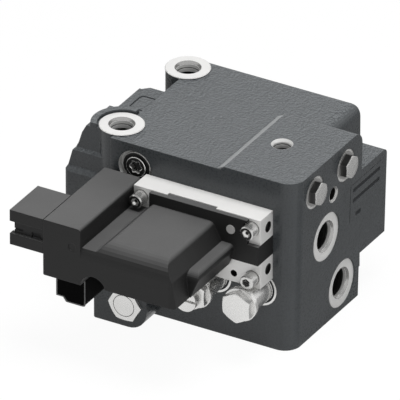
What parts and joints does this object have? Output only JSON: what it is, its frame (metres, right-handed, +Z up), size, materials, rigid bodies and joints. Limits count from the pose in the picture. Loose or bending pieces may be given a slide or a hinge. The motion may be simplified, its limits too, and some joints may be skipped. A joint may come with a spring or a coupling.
{
  "type": "electro-hydraulic steering valve",
  "caption": "Cast steering valve block with threaded ports, cartridge valves and a bolted-on electro-hydraulic actuator with moulded plug sockets.",
  "frame": {"origin": "centre of the four mounting holes, on the bottom face of the casting", "axes": "+X to the face with the work ports, +Y to the rear, away from the actuator, along the main spool, +Z up"},
  "size_m": [0.1733, 0.2153, 0.1206],
  "materials": {
    "cast_body": "fine cast grain, semi-gloss black coating, machined faces left bare",
    "plated_steel": "bright zinc plating",
    "steel": "ground or drawn steel",
    "base_aluminium": "fine milled aluminium",
    "rivet_aluminium": "plain aluminium",
    "cover_plastic": "fine moulded texture",
    "header_plastic": "smooth moulded black",
    "coil_plastic": "smooth moulded black",
    "board": "green solder mask",
    "contact_brass": "tinned brass",
    "rubber": "smooth moulded rubber"
  },
  "bodies": {
    "housing": {"valve_body": "cast_body", "rear_cap": "cast_body", "rear_cap_screws": "steel", "rear_cap_seal": "rubber", "spool_spring_front": "steel", "spool_spring_rear": "steel", "shock_cartridge_right": "plated_steel", "shock_spring_right": "steel", "shock_cartridge_left": "plated_steel", "shock_spring_left": "steel", "shock_washers": "plated_steel", "priority_plug": "plated_steel", "priority_spring": "steel", "reducer_plug": "steel", "reducer_spring": "steel", "check_plugs": "plated_steel", "check_spring_front": "steel", "check_spring_rear": "steel", "plug_seals": "steel", "actuator_base": "base_aluminium", "base_seals": "rubber", "base_screws": "steel", "position_sensor": "steel", "solenoid_1": "coil_plastic", "solenoid_2": "coil_plastic", "solenoid_3": "coil_plastic", "solenoid_4": "coil_plastic", "circuit_board": "board", "actuator_cover": "cover_plastic", "cover_rivet": "rivet_aluminium", "upper_header": "header_plastic", "lower_header": "header_plastic", "upper_pins": "contact_brass", "lower_pins": "contact_brass"},
    "spool": {"main_spool": "steel", "sensor_rod": "steel"},
    "right_poppet": {"shock_poppet_right": "steel"},
    "left_poppet": {"shock_poppet_left": "steel"},
    "adjuster": {"shock_adjuster": "plated_steel"},
    "priority_spool_body": {"priority_spool": "steel"},
    "reducer_spool_body": {"reducer_spool": "steel"},
    "front_ball": {"check_ball_front": "steel"},
    "rear_ball": {"check_ball_rear": "steel"},
    "pilot_plunger_1": {"plunger_1": "steel"},
    "pilot_plunger_2": {"plunger_2": "steel"},
    "pilot_plunger_3": {"plunger_3": "steel"},
    "pilot_plunger_4": {"plunger_4": "steel"}
  },
  "joints": [
    {"name": "spool_slide", "type": "slide", "parent": "housing", "child": "spool", "axis": [0, 1, 0], "range_m": [-0.007, 0.007], "stiffness_N_per_m": 2000, "deforming": ["spool_spring_front", "spool_spring_rear"]},
    {"name": "right_shock_lift", "type": "slide", "parent": "housing", "child": "right_poppet", "axis": [0, -1, 0], "range_m": [0, 0.003], "stiffness_N_per_m": 300, "springref_m": -0.004, "deforming": ["shock_spring_right"]},
    {"name": "left_shock_lift", "type": "slide", "parent": "housing", "child": "left_poppet", "axis": [0, -1, 0], "range_m": [0, 0.003], "stiffness_N_per_m": 300, "springref_m": -0.004, "deforming": ["shock_spring_left"]},
    {"name": "adjuster_turn", "type": "hinge", "parent": "housing", "child": "adjuster", "pos_m": [0.0313, -0.0915, 0.0412], "axis": [0, 1, 0], "range_deg": [-180, 180]},
    {"name": "priority_slide", "type": "slide", "parent": "housing", "child": "priority_spool_body", "axis": [0, -1, 0], "range_m": [0, 0.006], "stiffness_N_per_m": 500, "springref_m": -0.006, "deforming": ["priority_spring"]},
    {"name": "reducer_slide", "type": "slide", "parent": "housing", "child": "reducer_spool_body", "axis": [0, -1, 0], "range_m": [0, 0.002], "stiffness_N_per_m": 500, "springref_m": -0.003, "deforming": ["reducer_spring"]},
    {"name": "front_ball_lift", "type": "slide", "parent": "housing", "child": "front_ball", "axis": [1, 0, 0], "range_m": [0, 0.002], "stiffness_N_per_m": 100, "springref_m": -0.002, "deforming": ["check_spring_front"]},
    {"name": "rear_ball_lift", "type": "slide", "parent": "housing", "child": "rear_ball", "axis": [1, 0, 0], "range_m": [0, 0.002], "stiffness_N_per_m": 100, "springref_m": -0.002, "deforming": ["check_spring_rear"]},
    {"name": "pilot_stroke_1", "type": "slide", "parent": "housing", "child": "pilot_plunger_1", "axis": [0, 1, 0], "range_m": [0, 0.0008], "stiffness_N_per_m": 50, "springref_m": -0.001},
    {"name": "pilot_stroke_2", "type": "slide", "parent": "housing", "child": "pilot_plunger_2", "axis": [0, 1, 0], "range_m": [0, 0.0008], "stiffness_N_per_m": 50, "springref_m": -0.001},
    {"name": "pilot_stroke_3", "type": "slide", "parent": "housing", "child": "pilot_plunger_3", "axis": [0, 1, 0], "range_m": [0, 0.0008], "stiffness_N_per_m": 50, "springref_m": -0.001},
    {"name": "pilot_stroke_4", "type": "slide", "parent": "housing", "child": "pilot_plunger_4", "axis": [0, 1, 0], "range_m": [0, 0.0008], "stiffness_N_per_m": 50, "springref_m": -0.001}
  ]
}
